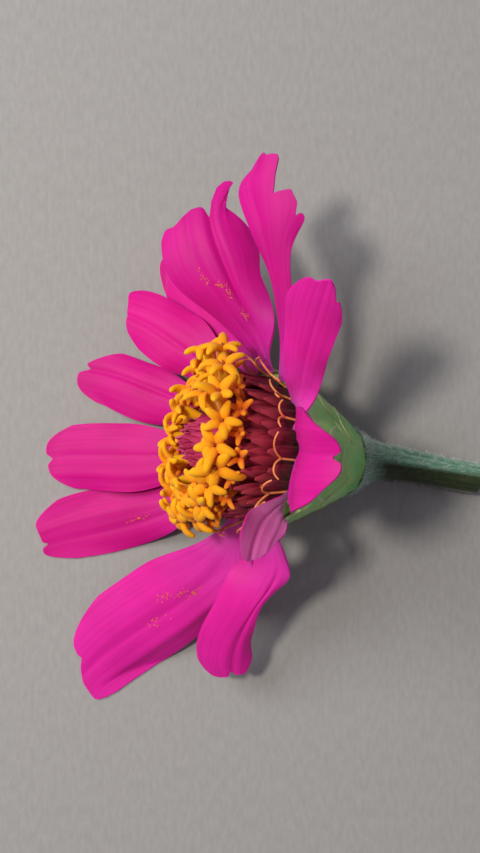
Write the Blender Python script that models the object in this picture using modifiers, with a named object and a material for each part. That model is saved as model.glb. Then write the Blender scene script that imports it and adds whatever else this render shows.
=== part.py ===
"""A cut zinnia that lies on its side: stem, green involucre, chaff, disc florets and twelve ray florets.

Sizes are in millimetres, +Z up, with the table at z = 0. The head has a frame of its own: its origin is
the middle of the ring that carries the ray florets, X points to the highest side of that ring, Y is level,
and Z is out of the flower's face. Angles round the head run from X to Y: 0 is its top side, 180 its underside.
"""

import math
import random

import bmesh
import bpy
import numpy as np
from mathutils import Matrix, Vector

MM = 0.001

# How the head lies
LEAN = math.radians(29.0)
SWING = math.radians(5.5)
RING_CENTRE = Vector((3.0, -3.1, 14.0))
MIDDLE = Vector((3.1, -2.7, 0.0))

# Ray florets. Curls are the turn, in radians, from a blade's midrib to its margin: a claw's margins turn up.
RING_RADIUS = 11.0
CLAW_LIFT = 0.2
CLAW_WIDTH = 3.0
CLAW_CURL = -0.7
CURL_BY = 0.4
TWIST_BY = 0.6
TIP_FALL = 0.15
BLADE_THICKNESS = 0.7
STEPS_ALONG = 10
STEPS_ACROSS = 10
TABLE_SOFTNESS = 0.25
FLAT_UNDER = 0.12
BLADE = {
    "round": 0.15,
    "skew": 0.0,
    "widest": 0.55,
    "swell": 0.85,
    "curl": (0.45, 0.45),
    "upper_share": 1.0,
    "lower_share": 1.0,
    "lobes": (),
}

# Receptacle and involucre. Profiles are radius and height pairs down the outside.
SEAT_GAP = 0.3
CUP_TOP = -0.7
CUP_PROFILE = ((11.2, CUP_TOP), (10.6, -3.5), (9.1, -7.5), (6.9, -11.5), (5.0, -15.0), (4.0, -17.0))
CUP_STEPS = 28
BRACT_THICKNESS = 1.3
BRACT_ROUNDING = 0.42
BRACT_FOOT = 0.6
BRACT_EDGE_TUCK = 0.25
BRACT_ROWS = (
    {"count": 7, "low": -16.4, "high": -9.0, "width": 6.0, "proud": 0.6, "turn": 0.0},
    {"count": 9, "low": -13.5, "high": -4.6, "width": 6.9, "proud": 0.55, "turn": 14.0},
    {"count": 11, "low": -9.5, "high": -0.7, "width": 7.2, "proud": 0.5, "turn": 5.0},
)

# Chaff
CORE_PROFILE = ((4.0, 8.9), (6.8, 7.9), (8.8, 6.0), (9.4, 3.5), (9.4, -0.3))
CORE_TOP = 9.2
TURNED_STEPS = 26
WALL_BRACTS = 22
WALL_FOOT = 0.15
WALL_TILT = 89.0
WALL_SIZES = ({"radius": 9.0, "length": 6.2}, {"radius": 9.25, "length": 5.4})
WALL_WIDTH = 2.2
WALL_KEEL = 0.65
APEX_BRACTS = 16
APEX_RADIUS = 3.1
APEX_SINK = 0.8
APEX_SPREAD = 16.0
APEX_LENGTH = 3.0
APEX_WIDTH = 1.2
APEX_KEEL = 0.5
CHAFF_SECTIONS = ((0.0, 1.0), (0.6, 0.9))
CHAFF_TIP_LEAN = 0.2
GOLDEN_ANGLE = math.radians(137.508)

# Disc florets
CARRIER_GAP = 0.35
CARRIER_THICKNESS = 1.0
CARRIER_PROFILE = ((4.4, 9.1), (6.9, 8.25), (8.9, 6.55))
FLORET_ROWS = (
    {"count": 15, "radius": 8.3, "height": 7.5, "tilt": 27.0, "lean": 14.0, "tube": 4.3, "sway": 0.2,
     "size": 1.05, "turn": 0.0},
    {"count": 9, "radius": 5.9, "height": 8.9, "tilt": 62.0, "lean": 6.0, "tube": 2.6, "sway": 0.0,
     "size": 0.95, "turn": 9.0},
)
CROWN_TURN = math.radians(45.0)
LOBES = 5
TUBE_FOOT = 0.6
FLORET_SECTIONS = ((1.00, 1.35, -0.2), (1.05, 2.65, 0.2), (0.90, 2.10, 1.0))
FLORET_EYE = 0.45
FLORET_SEED = 4

# Shading
SHARP_OVER = math.radians(50.0)

# Stem
STEM_ROUTE = ((23.5, -5.6, 3.8), (29.9, -6.8, 2.6), (36.4, -8.0, 2.2))
STEM_RADIUS = 2.4
STEM_TOP_RADIUS = 3.9
STEM_FLARE = 7.0
STEM_STEPS = 12
STEM_SIDES = 16
STEM_CUT = (0.0, -0.3, -0.35)


def head_matrix():
    """The head's frame in world metres."""
    outward = Vector((-math.cos(LEAN) * math.cos(SWING), math.cos(LEAN) * math.sin(SWING), math.sin(LEAN)))
    level = Vector((math.sin(SWING), math.cos(SWING), 0.0))
    upper = level.cross(outward)
    turn = Matrix((upper, level, outward)).transposed().to_4x4()
    return Matrix.Translation((RING_CENTRE - MIDDLE) * MM) @ turn


HEAD = head_matrix()


def clear_scene():
    for thing in list(bpy.data.objects):
        bpy.data.objects.remove(thing)


def material(name, colour, roughness):
    made = bpy.data.materials.new(name)
    made.use_nodes = True
    shader = made.node_tree.nodes["Principled BSDF"]
    shader.inputs["Base Color"].default_value = (*colour, 1.0)
    shader.inputs["Roughness"].default_value = roughness
    shader.inputs["Metallic"].default_value = 0.0
    return made


def new_object(name, mesh, collection, finish=None, matrix=None):
    made = bpy.data.objects.new(name, mesh)
    if finish:
        mesh.materials.append(finish)
    if matrix:
        made.matrix_world = matrix
    collection.objects.link(made)
    return made


def finished_mesh(thing):
    """The object's mesh with its modifiers applied."""
    bpy.context.view_layer.update()
    graph = bpy.context.evaluated_depsgraph_get()
    return bpy.data.meshes.new_from_object(thing.evaluated_get(graph))


def apply_modifiers(thing):
    mesh = finished_mesh(thing)
    thing.modifiers.clear()
    old = thing.data
    thing.data = mesh
    bpy.data.meshes.remove(old)


def mesh_from(name, bm):
    bmesh.ops.recalc_face_normals(bm, faces=bm.faces)
    mesh = bpy.data.meshes.new(name)
    bm.to_mesh(mesh)
    bm.free()
    return mesh


def loft(name, rings, tip=None):
    """A closed skin through rings of points alike in number, with flat ends or a pointed top."""
    bm = bmesh.new()
    made = [[bm.verts.new(point) for point in ring] for ring in rings]
    sides = len(rings[0])
    for low, high in zip(made, made[1:]):
        for i in range(sides):
            j = (i + 1) % sides
            bm.faces.new((low[i], low[j], high[j], high[i]))
    bm.faces.new(list(reversed(made[0])))
    if tip is None:
        bm.faces.new(made[-1])
    else:
        top = bm.verts.new(tip)
        for i in range(sides):
            bm.faces.new((made[-1][i], made[-1][(i + 1) % sides], top))
    return mesh_from(name, bm)


def turned(name, profile, steps, collection, ring=False):
    """A solid turned round the head's axis. The profile runs down its outer side, and back up in a ring."""
    mesh = bpy.data.meshes.new(name)
    points = [(r * MM, 0.0, h * MM) for r, h in profile]
    edges = [(i, i + 1) for i in range(len(points) - 1)]
    if ring:
        edges.append((len(points) - 1, 0))
    mesh.from_pydata(points, edges, [])
    made = new_object(name, mesh, collection)
    screw = made.modifiers.new("Screw", "SCREW")
    screw.steps = steps
    screw.render_steps = steps
    screw.use_merge_vertices = True
    screw.merge_threshold = 0.00001
    apply_modifiers(made)
    return made


def union(body, repeats):
    """Joins every object of the collection to the body, then removes the collection's objects."""
    join = body.modifiers.new("Union", "BOOLEAN")
    join.operation = "UNION"
    join.operand_type = "COLLECTION"
    join.collection = repeats
    join.solver = "MANIFOLD"
    apply_modifiers(body)
    for thing in list(repeats.objects):
        bpy.data.objects.remove(thing)
    bpy.data.collections.remove(repeats)


def cutter_collection(name):
    made = bpy.data.collections.new(name)
    bpy.context.scene.collection.children.link(made)
    return made


def ease(t):
    t = np.clip(t, 0.0, 1.0)
    return t * t * (3.0 - 2.0 * t)


def unit(v):
    return v / np.linalg.norm(v, axis=-1, keepdims=True)


def through(points, t):
    """The curve through the points, at the shares t of its length, by Lagrange's formula."""
    points = np.array(points, float)
    gaps = np.linalg.norm(np.diff(points, axis=0), axis=1)
    knots = np.concatenate([[0.0], np.cumsum(gaps)]) / gaps.sum()
    total = 0.0
    for i, point in enumerate(points):
        share = np.ones_like(t)
        for j, knot in enumerate(knots):
            if j != i:
                share = share * (t - knot) / (knots[i] - knot)
        total = total + share[..., None] * point
    return total


def ring_point(angle):
    a = math.radians(angle)
    local = Vector((RING_RADIUS * math.cos(a), RING_RADIUS * math.sin(a), CLAW_LIFT))
    return np.array(HEAD @ (local * MM)) / MM


def ring_tangent(angle):
    a = math.radians(angle)
    return np.array(HEAD.to_3x3() @ Vector((-math.sin(a), math.cos(a), 0.0)))


def ray_floret(number, shape, collection, finish):
    """One petal: a blade round its midrib, with a narrow claw, arched margins and a lobed tip."""
    shape = {**BLADE, **shape}
    bm = bmesh.new()
    bmesh.ops.create_grid(bm, x_segments=STEPS_ALONG, y_segments=STEPS_ACROSS, size=1.0)
    grid = np.array([vert.co for vert in bm.verts])
    s = (grid[:, 0] + 1.0) / 2.0
    v = grid[:, 1]
    end = 1.0 - shape["round"] * np.abs(v) ** 4 + shape["skew"] * v
    for at, depth, width in shape["lobes"]:
        end = end + depth * np.exp(-(((v - at) / width) ** 2))
    t = s * (1.0 - (1.0 - end) * s**2)
    midrib = [ring_point(shape["angle"])] + [np.array(p) - np.array(MIDDLE) for p in shape["midrib"]]
    spine = through(midrib, t)
    step = 0.001
    along = unit(through(midrib, t + step) - through(midrib, t - step))
    twist = ease(t / TWIST_BY)[:, None]
    across = (1.0 - twist) * ring_tangent(shape["angle"]) + twist * np.array(shape["across"])
    across = unit(across - (across * along).sum(-1, keepdims=True) * along)
    face = np.cross(along, across)
    claw = CLAW_WIDTH / shape["width"]
    widest = shape["widest"]
    rise = claw + (1.0 - claw) * ease(t / widest) ** shape["swell"]
    fall = 1.0 - TIP_FALL * np.clip((t - widest) / (1.0 - widest), 0.0, 2.0) ** 2
    half = shape["width"] / 2.0 * np.where(t < widest, rise, fall)
    half = half * np.where(v > 0.0, shape["upper_share"], shape["lower_share"])
    lower, upper = shape["curl"]
    curl = CLAW_CURL + (np.where(v > 0.0, upper, lower) - CLAW_CURL) * ease(t / CURL_BY)
    curl = np.where(np.abs(curl) < 0.01, 0.01, curl)
    bend = curl * np.abs(v)
    side = np.sign(v) * half * np.sin(bend) / curl
    drop = -half * (1.0 - np.cos(bend)) / curl
    points = spine + side[:, None] * across + drop[:, None] * face
    floor = BLADE_THICKNESS / 2.0
    above = points[:, 2] - floor
    points[:, 2] = floor + 0.5 * (above + np.sqrt(above**2 + TABLE_SOFTNESS**2))
    points[:, 2] = np.where(points[:, 2] < floor + FLAT_UNDER, floor, points[:, 2])
    for vert, point in zip(bm.verts, points):
        vert.co = Vector(point) * MM
    name = f"ray_floret_{number:02d}"
    made = new_object(name, mesh_from(name, bm), collection, finish)
    made.modifiers.new("Triangulate", "TRIANGULATE").quad_method = "FIXED"
    solid = made.modifiers.new("Solidify", "SOLIDIFY")
    solid.thickness = BLADE_THICKNESS * MM
    solid.offset = 0.0
    apply_modifiers(made)
    lay_on_table(made)
    return made


def lay_on_table(thing):
    """Makes the lowest part of the mesh flat where it meets the table."""
    for vert in thing.data.vertices:
        if vert.co.z < FLAT_UNDER * MM:
            vert.co.z = 0.0


RAY_FLORETS = (
    {"angle": -150, "midrib": ((-11.5, -12.4, 2.8), (-20.8, -15.0, 0.8), (-30.7, -17.6, 0.35)),
     "across": (0.25, -0.97, 0.0), "width": 9.4, "lobes": ((0.2, -0.05, 0.12), (-0.8, 0.03, 0.4))},
    {"angle": 180, "midrib": ((-11.5, -4.6, 4.0), (-20.3, -4.7, 2.2), (-29.9, -5.1, -0.1)),
     "across": (0.0, -1.0, 0.0), "width": 10.6, "curl": (0.25, 0.25), "lobes": ((0.0, -0.03, 0.15),)},
    {"angle": 150, "midrib": ((-9.4, 3.4, 4.0), (-16.9, 6.2, 1.8), (-25.2, 8.3, 0.1)),
     "across": (-0.3, -0.95, 0.0), "width": 9.2, "lobes": ((-0.8, -0.09, 0.5), (-0.2, -0.04, 0.14))},
    {"angle": 126, "midrib": ((-5.4, 9.9, 7.9), (-11.2, 14.2, 6.0), (-17.2, 17.4, 3.0)),
     "across": (-0.62, -0.72, -0.1), "width": 9.6, "skew": -0.05, "lobes": ((-1.0, 0.09, 0.4),)},
    {"angle": 103, "midrib": ((-1.6, 13.4, 8.4), (-6.4, 20.4, 3.2), (-10.7, 27.0, -0.2)),
     "across": (-0.72, -0.62, -0.05), "width": 9.6},
    {"angle": 82, "midrib": ((0.4, 15.7, 17.0), (-3.4, 23.0, 18.5), (-5.4, 31.0, 17.0)),
     "across": (-0.93, -0.2, -0.2), "width": 13.8, "round": 0.2, "widest": 0.7, "curl": (0.9, 0.35),
     "upper_share": 1.08, "lobes": ((-0.68, 0.2, 0.2), (-0.15, -0.04, 0.15), (0.8, 0.01, 0.4))},
    {"angle": 60, "midrib": ((5.1, 15.3, 22.0), (4.2, 25.1, 25.0), (4.3, 34.6, 26.0)),
     "across": (-0.9, -0.05, -0.4), "width": 9.8, "round": 0.1, "widest": 0.95, "swell": 1.7, "skew": 0.12,
     "lobes": ((-0.2, 0.09, 0.2), (-0.4, -0.06, 0.12), (-0.8, -0.07, 0.12), (1.0, -0.12, 0.5))},
    {"angle": 33, "midrib": ((7.9, 6.9, 28.5), (8.9, 12.2, 35.5), (10.1, 16.8, 42.0)),
     "across": (-0.75, 0.15, -0.5), "width": 8.8, "widest": 0.85, "swell": 1.0, "curl": (0.3, 0.3),
     "lower_share": 0.8, "lobes": ((-0.6, -0.05, 0.14),)},
    {"angle": 2, "midrib": ((7.5, -3.9, 32.0), (7.9, -4.6, 40.5), (11.6, -4.6, 46.5)),
     "across": (0.07, 1.0, 0.0), "width": 12.2, "curl": (0.3, 0.3), "lobes": ((0.2, -0.07, 0.14),)},
    {"angle": -36, "midrib": ((5.9, -11.8, 28.0), (3.4, -13.2, 33.5), (0.6, -14.0, 38.0)),
     "across": (0.05, 1.0, 0.3), "width": 8.6, "widest": 0.9, "lobes": ((-1.0, 0.1, 0.4),)},
    {"angle": -76, "midrib": ((4.8, -19.4, 15.8), (0.9, -27.7, 12.3), (-1.9, -37.6, 5.8)),
     "across": (0.95, -0.2, 0.1), "width": 9.6, "round": 0.08, "curl": (0.4, 0.9),
     "upper_share": 0.5, "lobes": ((0.2, -0.06, 0.14), (1.0, 0.07, 0.35))},
    {"angle": -113, "midrib": ((-4.4, -21.4, 8.0), (-13.2, -28.6, 4.2), (-24.2, -37.4, 0.5)),
     "across": (0.6, -0.78, 0.0), "width": 14.6, "skew": 0.1, "swell": 0.7, "curl": (0.35, 0.8),
     "lobes": ((-0.2, -0.03, 0.14), (0.8, 0.06, 0.35))},
)


def cup_radius(height):
    radii, heights = zip(*CUP_PROFILE)
    return float(np.interp(height, heights[::-1], radii[::-1]))


def involucre_bract(row, angle, collection):
    """A rounded bract that hugs the cup: its inner side is sunk in, and its tip stands proud."""
    bm = bmesh.new()
    bmesh.ops.create_grid(bm, x_segments=3, y_segments=4, size=1.0)
    for vert in bm.verts:
        s = (vert.co.x + 1.0) / 2.0
        v = vert.co.y
        reach = 1.0 - BRACT_ROUNDING * abs(v) ** 2.5
        height = row["low"] + (row["high"] - row["low"]) * s * reach
        radius = cup_radius(height) + row["proud"] * (0.25 + 0.75 * s) - BRACT_EDGE_TUCK * abs(v)
        width = row["width"] * (BRACT_FOOT + (1.0 - BRACT_FOOT) * s)
        a = angle + v * width / 2.0 / cup_radius(height)
        vert.co = Vector((radius * math.cos(a), radius * math.sin(a), height)) * MM
    for face in bm.faces:
        face.normal_update()
        if face.normal.dot(face.calc_center_median()) < 0.0:
            face.normal_flip()
    mesh = bpy.data.meshes.new("involucre_bract")
    bm.to_mesh(mesh)
    bm.free()
    bract = new_object("involucre_bract", mesh, collection)
    bract.modifiers.new("Triangulate", "TRIANGULATE").quad_method = "FIXED"
    solid = bract.modifiers.new("Solidify", "SOLIDIFY")
    solid.thickness = BRACT_THICKNESS * MM
    solid.offset = -1.0
    apply_modifiers(bract)


def involucre(collection, finish):
    profile = ((0.0, CUP_TOP), *CUP_PROFILE, (0.0, CUP_PROFILE[-1][1]))
    body = turned("involucre", profile, CUP_STEPS, collection)
    repeats = cutter_collection("involucre_bracts")
    for row in BRACT_ROWS:
        for i in range(row["count"]):
            angle = math.radians(row["turn"]) + 2.0 * math.pi * i / row["count"]
            involucre_bract(row, angle, repeats)
    union(body, repeats)
    body.data.materials.clear()
    body.data.materials.append(finish)
    body.matrix_world = HEAD


def frame_at(radius, height, angle, tilt):
    """A frame on the dome: Z leans outwards by the tilt above level, and Y runs round the head."""
    a = math.radians(tilt)
    around = Matrix.Rotation(angle, 4, "Z")
    lean = Matrix.Rotation(math.pi / 2.0 - a, 4, "Y")
    return around @ Matrix.Translation(Vector((radius, 0.0, height)) * MM) @ lean


def chaff_bract(length, width, keel, place, collection):
    """A narrow keeled bract, pointed at its top."""
    corners = ((keel, 0.0), (0.0, width / 2.0), (-keel / 2.0, 0.0), (0.0, -width / 2.0))
    rings = []
    for share, size in CHAFF_SECTIONS:
        rings.append([place @ (Vector((x * size, y * size, share * length)) * MM) for x, y in corners])
    mesh = loft("chaff_bract", rings, place @ (Vector((CHAFF_TIP_LEAN, 0.0, length)) * MM))
    new_object("chaff_bract", mesh, collection)


def chaff(collection, finish):
    profile = ((0.0, CORE_TOP), *CORE_PROFILE, (0.0, CORE_PROFILE[-1][1]))
    body = turned("chaff", profile, TURNED_STEPS, collection)
    repeats = cutter_collection("chaff_bracts")
    for i in range(2 * WALL_BRACTS):
        angle = math.pi * i / WALL_BRACTS
        size = WALL_SIZES[i % 2]
        place = frame_at(size["radius"], WALL_FOOT, angle, WALL_TILT)
        chaff_bract(size["length"], WALL_WIDTH, WALL_KEEL, place, repeats)
    for i in range(APEX_BRACTS):
        spread = math.sqrt((i + 0.5) / APEX_BRACTS)
        tilt = 90.0 - APEX_SPREAD * spread
        place = frame_at(APEX_RADIUS * spread, CORE_TOP - APEX_SINK, i * GOLDEN_ANGLE, tilt)
        chaff_bract(APEX_LENGTH, APEX_WIDTH, APEX_KEEL, place, repeats)
    union(body, repeats)
    body.data.materials.clear()
    body.data.materials.append(finish)
    body.matrix_world = HEAD


def disc_floret(row, angle, chance, collection):
    """A tube that opens into five thick pointed lobes, fused to the band that carries it."""
    size = row["size"] * chance.uniform(0.92, 1.05)
    tilt = row["tilt"] + row["lean"] * math.cos(angle + CROWN_TURN) + chance.uniform(-6.0, 6.0)
    place = frame_at(row["radius"], row["height"], angle, tilt)
    place = place @ Matrix.Rotation(chance.uniform(0.0, 2.0 * math.pi), 4, "Z")
    tube = row["tube"] * chance.uniform(0.9, 1.1) * (1.0 + row["sway"] * math.sin(angle))
    sections = [(TUBE_FOOT, TUBE_FOOT, 0.0)]
    sections += [(valley, lobe, tube + rise) for valley, lobe, rise in FLORET_SECTIONS]
    rings = []
    for valley, lobe, height in sections:
        ring = []
        for j in range(2 * LOBES):
            a = math.pi * j / LOBES
            radius = size * (valley if j % 2 else lobe)
            ring.append(place @ (Vector((radius * math.cos(a), radius * math.sin(a), height)) * MM))
        rings.append(ring)
    mesh = loft("disc_floret", rings, place @ Vector((0.0, 0.0, (tube + FLORET_EYE) * MM)))
    new_object("disc_floret", mesh, collection)


def disc_florets(collection, finish):
    inner = [(r, h + CARRIER_GAP) for r, h in CARRIER_PROFILE]
    outer = [(r, h + CARRIER_THICKNESS) for r, h in inner]
    body = turned("disc_florets", [*outer, *reversed(inner)], TURNED_STEPS, collection, ring=True)
    repeats = cutter_collection("disc_floret_repeats")
    chance = random.Random(FLORET_SEED)
    for row in FLORET_ROWS:
        for i in range(row["count"]):
            angle = math.radians(row["turn"]) + 2.0 * math.pi * i / row["count"]
            disc_floret(row, angle, chance, repeats)
    union(body, repeats)
    body.data.materials.clear()
    body.data.materials.append(finish)
    body.matrix_world = HEAD


def stem(collection, finish):
    """A round stalk that leaves the cup square to its end and bends down to lie on the table."""
    start = np.array(HEAD @ Vector((0.0, 0.0, (CUP_PROFILE[-1][1] - SEAT_GAP) * MM))) / MM
    route = [start] + [np.array(p) - np.array(MIDDLE) for p in STEM_ROUTE]
    axis = np.array(HEAD.to_3x3().col[2])
    rings = []
    for k in range(STEM_STEPS + 1):
        share = np.array(k / STEM_STEPS)
        centre = through(route, share)
        along = unit(through(route, share + 0.001) - through(route, share - 0.001))
        blend = ease(share / 0.25)
        along = unit((1.0 - blend) * -axis + blend * along)
        if k == STEM_STEPS:
            along = unit(along + np.array(STEM_CUT))
        radius = STEM_RADIUS + (STEM_TOP_RADIUS - STEM_RADIUS) * math.exp(-float(share) * STEM_FLARE)
        level = unit(np.cross((0.0, 0.0, 1.0), along))
        upper = np.cross(along, level)
        ring = []
        for j in range(STEM_SIDES):
            a = 2.0 * math.pi * (j + 0.5) / STEM_SIDES
            ring.append(Vector(centre + radius * (math.cos(a) * level + math.sin(a) * upper)) * MM)
        rings.append(ring)
    made = new_object("stem", loft("stem", rings), collection, finish)
    lay_on_table(made)


def main():
    clear_scene()
    flower = bpy.data.collections.new("zinnia_flower")
    bpy.context.scene.collection.children.link(flower)
    petal = material("ray_magenta", (0.75, 0.02, 0.28), 0.55)
    stem(flower, material("stem_green", (0.10, 0.22, 0.12), 0.6))
    involucre(flower, material("involucre_green", (0.12, 0.28, 0.07), 0.55))
    chaff(flower, material("chaff_crimson", (0.30, 0.02, 0.05), 0.6))
    disc_florets(flower, material("floret_yellow", (1.0, 0.45, 0.01), 0.6))
    for number, shape in enumerate(RAY_FLORETS, start=1):
        ray_floret(number, shape, flower, petal)
    for thing in flower.objects:
        thing.data.shade_smooth()
        thing.data.set_sharp_from_angle(angle=SHARP_OVER)


main()
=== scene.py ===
"""A cut zinnia on a pale table, seen from above: petals, star florets, chaff, green cup and hairy stem.

Sizes are in millimetres until a mesh is made. The head has a frame of its own: its origin is the middle
of the ring that carries the petals, X points to its top side, Y is level and Z is out of the flower's
face. Angles round the head run from X to Y. On a petal or a bract, s runs from its foot to its tip, and
v from one margin, -1, to the other, 1.
"""

import random
from math import cos, pi, radians, sin, sqrt

import bpy
import numpy as np
from mathutils import Matrix, Vector


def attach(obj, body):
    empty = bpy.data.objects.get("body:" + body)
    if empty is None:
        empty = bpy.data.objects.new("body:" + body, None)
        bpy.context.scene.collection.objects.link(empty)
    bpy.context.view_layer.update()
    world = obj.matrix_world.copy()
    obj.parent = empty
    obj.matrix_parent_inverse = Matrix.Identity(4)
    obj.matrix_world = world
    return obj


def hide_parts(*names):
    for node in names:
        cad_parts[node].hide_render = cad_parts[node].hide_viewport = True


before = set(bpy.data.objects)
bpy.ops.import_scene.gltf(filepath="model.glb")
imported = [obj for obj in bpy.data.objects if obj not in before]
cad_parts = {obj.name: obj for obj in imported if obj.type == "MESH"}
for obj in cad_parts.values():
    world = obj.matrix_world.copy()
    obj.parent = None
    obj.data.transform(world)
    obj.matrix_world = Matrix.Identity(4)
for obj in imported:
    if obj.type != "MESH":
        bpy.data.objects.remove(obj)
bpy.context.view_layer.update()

MM = 0.001
NUDGE = 0.001
GOLDEN_ANGLE = radians(137.508)
BLACK = (0.0, 0.0, 0.0, 1.0)
WHITE = (1.0, 1.0, 1.0, 1.0)

# How the head lies on the table. MIDDLE is the place that becomes the world's origin
LEAN = radians(29.0)
SWING = radians(5.5)
RING_CENTRE = Vector((3.0, -3.1, 14.0))
MIDDLE = Vector((3.1, -2.7, 0.0))

# What all petals share. Each name that ends in BY is the share of the length where that form is full
RING_RADIUS = 11.0
CLAW_LIFT = 0.2
CLAW_WIDTH = 3.0
CLAW_CURL = -0.7
FLATTEST_CURL = 0.01
CURL_BY = 0.4
TIP_FALL = 0.15
HOOK_FROM = 0.82
HOOK_LENGTH = 0.18
PETAL_THICKNESS = 0.3
STEPS_ALONG = 72
STEPS_ACROSS = 48
TABLE_SOFTNESS = 0.2
TABLE_SINK = 0.03
RIBS = 7.0
RIB_DEPTH = 0.01
RIBS_BY = 0.25
FOLDS_BY = 0.3
WAVES = 2.3
WAVES_APART = 0.27
WAVE_SHIFT = 40.0
RUFFLE_BY = 0.5
PETAL = {
    "face": "bright", "twist_by": 0.6, "round": 0.15, "skew": 0.0, "widest": 0.55, "swell": 0.85,
    "curl": (0.45, 0.45), "upper_share": 1.0, "lower_share": 1.0, "ruffle": 0.25,
    "lobes": (), "steps": (), "waists": (), "folds": (), "hooks": (),
}

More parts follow.
